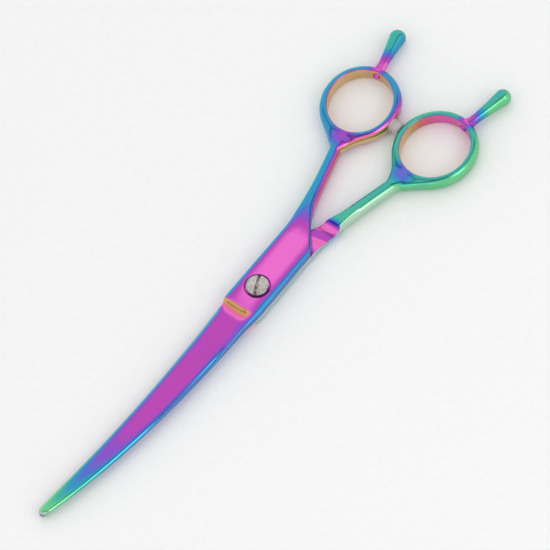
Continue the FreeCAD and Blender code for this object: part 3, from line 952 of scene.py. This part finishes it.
def rear_film(place, facing):
    x, y, _ = place
    nx, ny, nz = facing
    ring = 1.0 - x.rise(-0.062, -0.052)
    handle = 1.0 - x.rise(-0.037, -0.0335)
    slant = x + y * 0.25
    # Painted shade: a darker band across the middle of the concave scoop stands in for the shade it catches.
    scoop_shade_band = slant.rise(-0.0312, -0.0290) * (1.0 - slant.rise(-0.0275, -0.0255))
    scooped = SCOOP + scoop_shade_band * 0.15 + x.rise(-0.026, -0.022) * 0.1 + (1.0 - x.rise(-0.0345, -0.0325)) * 0.16
    open_side = ny.rise(0.4, 0.8)
    scooped = scooped * (1.0 - open_side) + open_side * 0.97
    below = forward_film(place, facing, REAR_FLAT, -1.0)
    upward = nz.rise(-0.45, 0.05)
    forward = scooped * upward + below * (1.0 - upward)
    shank = REAR_SHANK + ny.rise(0.1, 0.9) * 0.22 - (0.0 - ny).rise(0.1, 0.9) * 0.06
    bow = handle_film(facing, REAR_RING, 0.0, (0.62, 0.78)) + ny.rise(0.2, 0.9) * 0.12
    bow = bow - web_spot(place, rear) * nz.rise(0.5, 0.95) * 0.2 - root_spot(place, rear) * 0.42
    wall = hole_wall(place, facing, rear)
    bow = bow * (1.0 - wall) + wall * (0.04 + nx.rise(0.0, 0.9) * 0.2)
    behind = bow * ring + shank * (1.0 - ring)
    return forward * (1.0 - handle) + behind * handle


def rest_film(place, facing):
    x, y, _ = place
    ny = facing[1]
    outward = (-0.0925 - x).rise(0.0, 0.0085)
    rear_rest = y.rise(-0.005, 0.005)
    return 0.33 + outward * 0.36 + ny.rise(-0.3, 1.0) * (rear_rest * 0.20 - 0.08)


front_steel = rainbow_steel("front_rainbow_steel_polished", front_film)
rear_steel = rainbow_steel("rear_rainbow_steel_polished", rear_film)
rest_steel = rainbow_steel("rest_rainbow_steel_polished", rest_film)

# %% [markdown]
# ## Bare steel, nylon and clear rubber
# The screw keeps its lathe rings, which spread the highlight into a cone of light. The rings are a sine of
# the distance from the axis. Nylon is matt and slightly waxy, and the rubber lets light through.

# %% Bare steel


def turned_steel(name, colour, roughness_base, shade_floor):
    """Steel with lathe rings and grimy mottling; painted shade darkens whatever lies below the floor height
    given.
    """
    shader = Shader(name, Metallic=1.0)
    place = shader.coordinates("Object")
    x, y, z = shader.split(place)
    flat = shader.node("ShaderNodeCombineXYZ", sockets={"X": x, "Y": y})
    around = shader.node("ShaderNodeVectorMath", {"operation": "LENGTH"}, {0: flat}, "Value")
    rings = shader.node("ShaderNodeMath", {"operation": "SINE"}, {0: around * 52000.0})
    grime = shader.noise(place, 700.0, 4.0)
    # Painted shade: below the floor height, in the screw's slot, the colour is darkened as if in shadow.
    hollow = 1.0 - z.rise(shade_floor * MM, (shade_floor + 0.55) * MM)
    stops = [(0.0, tuple(c * 0.12 for c in colour)), (0.3, tuple(c * 0.7 for c in colour)), (0.7, colour)]
    tint = shader.node("ShaderNodeValToRGB", {"stops": stops}, {"Fac": grime - hollow * 0.3}, "Color")
    shader.feed(Base_Color=tint, Roughness=roughness_base + grime * 0.16,
                Normal=shader.bump(rings, 0.25, 0.00003))
    print("finish:", name)
    return shader.material


def soft_plastic(name, colour, roughness_base, **constants):
    shader = Shader(name, **constants)
    place = shader.coordinates("Object")
    mottle = shader.noise(place, 900.0, 3.0)
    stops = [(0.25, tuple(c * 0.9 for c in colour)), (0.75, colour)]
    tint = shader.node("ShaderNodeValToRGB", {"stops": stops}, {"Fac": mottle}, "Color")
    shader.feed(Base_Color=tint, Roughness=roughness_base + mottle * 0.12,
                Normal=shader.bump(mottle, 0.1, 0.00003))
    print("finish:", name)
    return shader.material


screw_steel = turned_steel("screw_steel_turned", (0.64, 0.60, 0.57), 0.16, float(head_top - SLOT_DEPTH))
spring_steel = turned_steel("spring_steel_dark", (0.20, 0.19, 0.20), 0.25, float(seat_z - 1))
nylon = soft_plastic("nylon_natural", (0.90, 0.89, 0.85), 0.45)
rubber = soft_plastic("clear_rubber_grey", (0.92, 0.85, 0.89), 0.18, Transmission_Weight=0.5, IOR=1.42)

FINISHES = [
    (front_forging, front_steel), (rear_forging, rear_steel), (rests[0], rest_steel), (rests[1], rest_steel),
    (screw, screw_steel), (spring, spring_steel), (glide, nylon), (stop, rubber),
]
for piece, finish in FINISHES:
    piece.data.materials.clear()
    piece.data.materials.append(finish)

# %% [markdown]
# ## Floor
# Polished metal shows only what is around it, so the studio is the finish: a bright, even surround keeps
# the film colours clean, and two darker gaps give the edges their thin dark lines. The floor is pale paper.

# %% Floor
FLOOR_SIZE = 8.0
FLOOR_DROP = 0.02
corners = np.array([(-1, -1, 0), (1, -1, 0), (1, 1, 0), (-1, 1, 0)]) * FLOOR_SIZE / 2 / MM
floor = make_mesh("floor", corners - np.array([0, 0, FLOOR_DROP]), [(0, 1, 2, 3)], smooth=False)
floor_shader = Shader("floor_paper", Roughness=0.9)
grain = floor_shader.noise(floor_shader.coordinates("Object"), 400.0, 3.0)
greys = [(0.3, (0.97, 0.97, 0.97)), (0.7, (0.99, 0.99, 0.99))]
paper = floor_shader.node("ShaderNodeValToRGB", {"stops": greys}, {"Fac": grain}, "Color")
floor_shader.feed(Base_Color=paper)
floor.data.materials.append(floor_shader.material)
print(f"floor {FLOOR_SIZE:.0f} m wide")

# %% [markdown]
# ## Lights
# The surround gives most of the light. Two weak soft boxes stand to the +Y side, where their reflections
# miss the flats, and give the round edges and the screw a soft highlight.

# %% Lights


def soft_light(name, place, size, power):
    lamp = bpy.data.lights.new(name, "AREA")
    lamp.shape = "RECTANGLE"
    lamp.size, lamp.size_y = size
    lamp.energy = power
    piece = bpy.data.objects.new(name, lamp)
    piece.location = place
    piece.rotation_euler = (-piece.location).to_track_quat("-Z", "Y").to_euler()
    bpy.context.scene.collection.objects.link(piece)
    print(f"{name}: {power} W")


soft_light("overhead_softbox", (-0.1, 0.8, 0.75), (0.5, 0.5), 1.2)
soft_light("side_softbox", (0.8, 0.5, 0.5), (0.5, 0.5), 0.4)

# %% [markdown]
# ## Surround
# The surround is a white tent with two soft dark gaps overhead. Flat faces look past them into white, and
# each round edge picks up one thin dark line, which is what makes the steel look polished.

# %% Surround
GAP_LOW, GAP_HIGH = 0.30, 0.50
world = bpy.data.worlds.new("studio")
bpy.context.scene.world = world
world.use_nodes = True
background = world.node_tree.nodes["Background"]
studio = Nodes(world.node_tree, background, Color=(1.0, 1.0, 1.0, 1.0))
sky_x, sky_y, sky_z = studio.split(studio.coordinates("Generated"))


def tent_gap(across, middle, width, softness, depth):
    """Factor that is 1 in the white of the tent and 1 - depth in a gap."""
    return 1.0 - (1.0 - (across - middle).size().rise(width, width + softness)) * depth


gaps = tent_gap(sky_y, 0.24, 0.03, 0.12, 0.8) * tent_gap(sky_x, 0.16, 0.03, 0.10, 0.7)
overhead = studio.node("ShaderNodeMapRange", {}, {"Value": sky_z, "From Min": GAP_LOW, "From Max": GAP_HIGH},
                       "Result")
studio.feed(Strength=1.0 - overhead * (1.0 - gaps))
bpy.context.scene.view_settings.view_transform = "Standard"
print("surround: white, with two dark gaps")

# %% [markdown]
# ## Camera
# The shears are seen from 60 degrees above the table, from the tip side, with the camera rolled so that
# they lie across the picture. A long lens keeps the perspective flat. The aim is a little to the right of
# the screw's head and a little above it, so that the whole length fits.

# %% Camera
CAMERA_DISTANCE = 4.0
VIEW_WIDTH = 0.1859
SENSOR_WIDTH = 36.0
ROLL = math.radians(12)
SHIFT_RIGHT, SHIFT_UP = 18 / 550, 9 / 550

back = Vector((0.329, 0.376, 0.866)).normalized()
down = back.cross(Vector((-0.752, 0.659, 0.0))).normalized()
level = down.cross(back).normalized()
right = (level * math.cos(ROLL) - down * math.sin(ROLL)).normalized()
up = back.cross(right).normalized()
target = Vector((0, 0, screw_box[1, 2] * MM)) + (right * SHIFT_RIGHT + up * SHIFT_UP) * VIEW_WIDTH

camera_data = bpy.data.cameras.new("camera")
camera_data.sensor_width = SENSOR_WIDTH
camera_data.lens = SENSOR_WIDTH * CAMERA_DISTANCE / VIEW_WIDTH
camera_data.clip_end = 10.0
camera = bpy.data.objects.new("camera", camera_data)
bpy.context.scene.collection.objects.link(camera)
rotation = Matrix((right, up, back)).transposed().to_4x4()
camera.matrix_world = Matrix.Translation(target + back * CAMERA_DISTANCE) @ rotation
bpy.context.scene.camera = camera
print("camera at", [round(value, 3) for value in camera.matrix_world.translation])
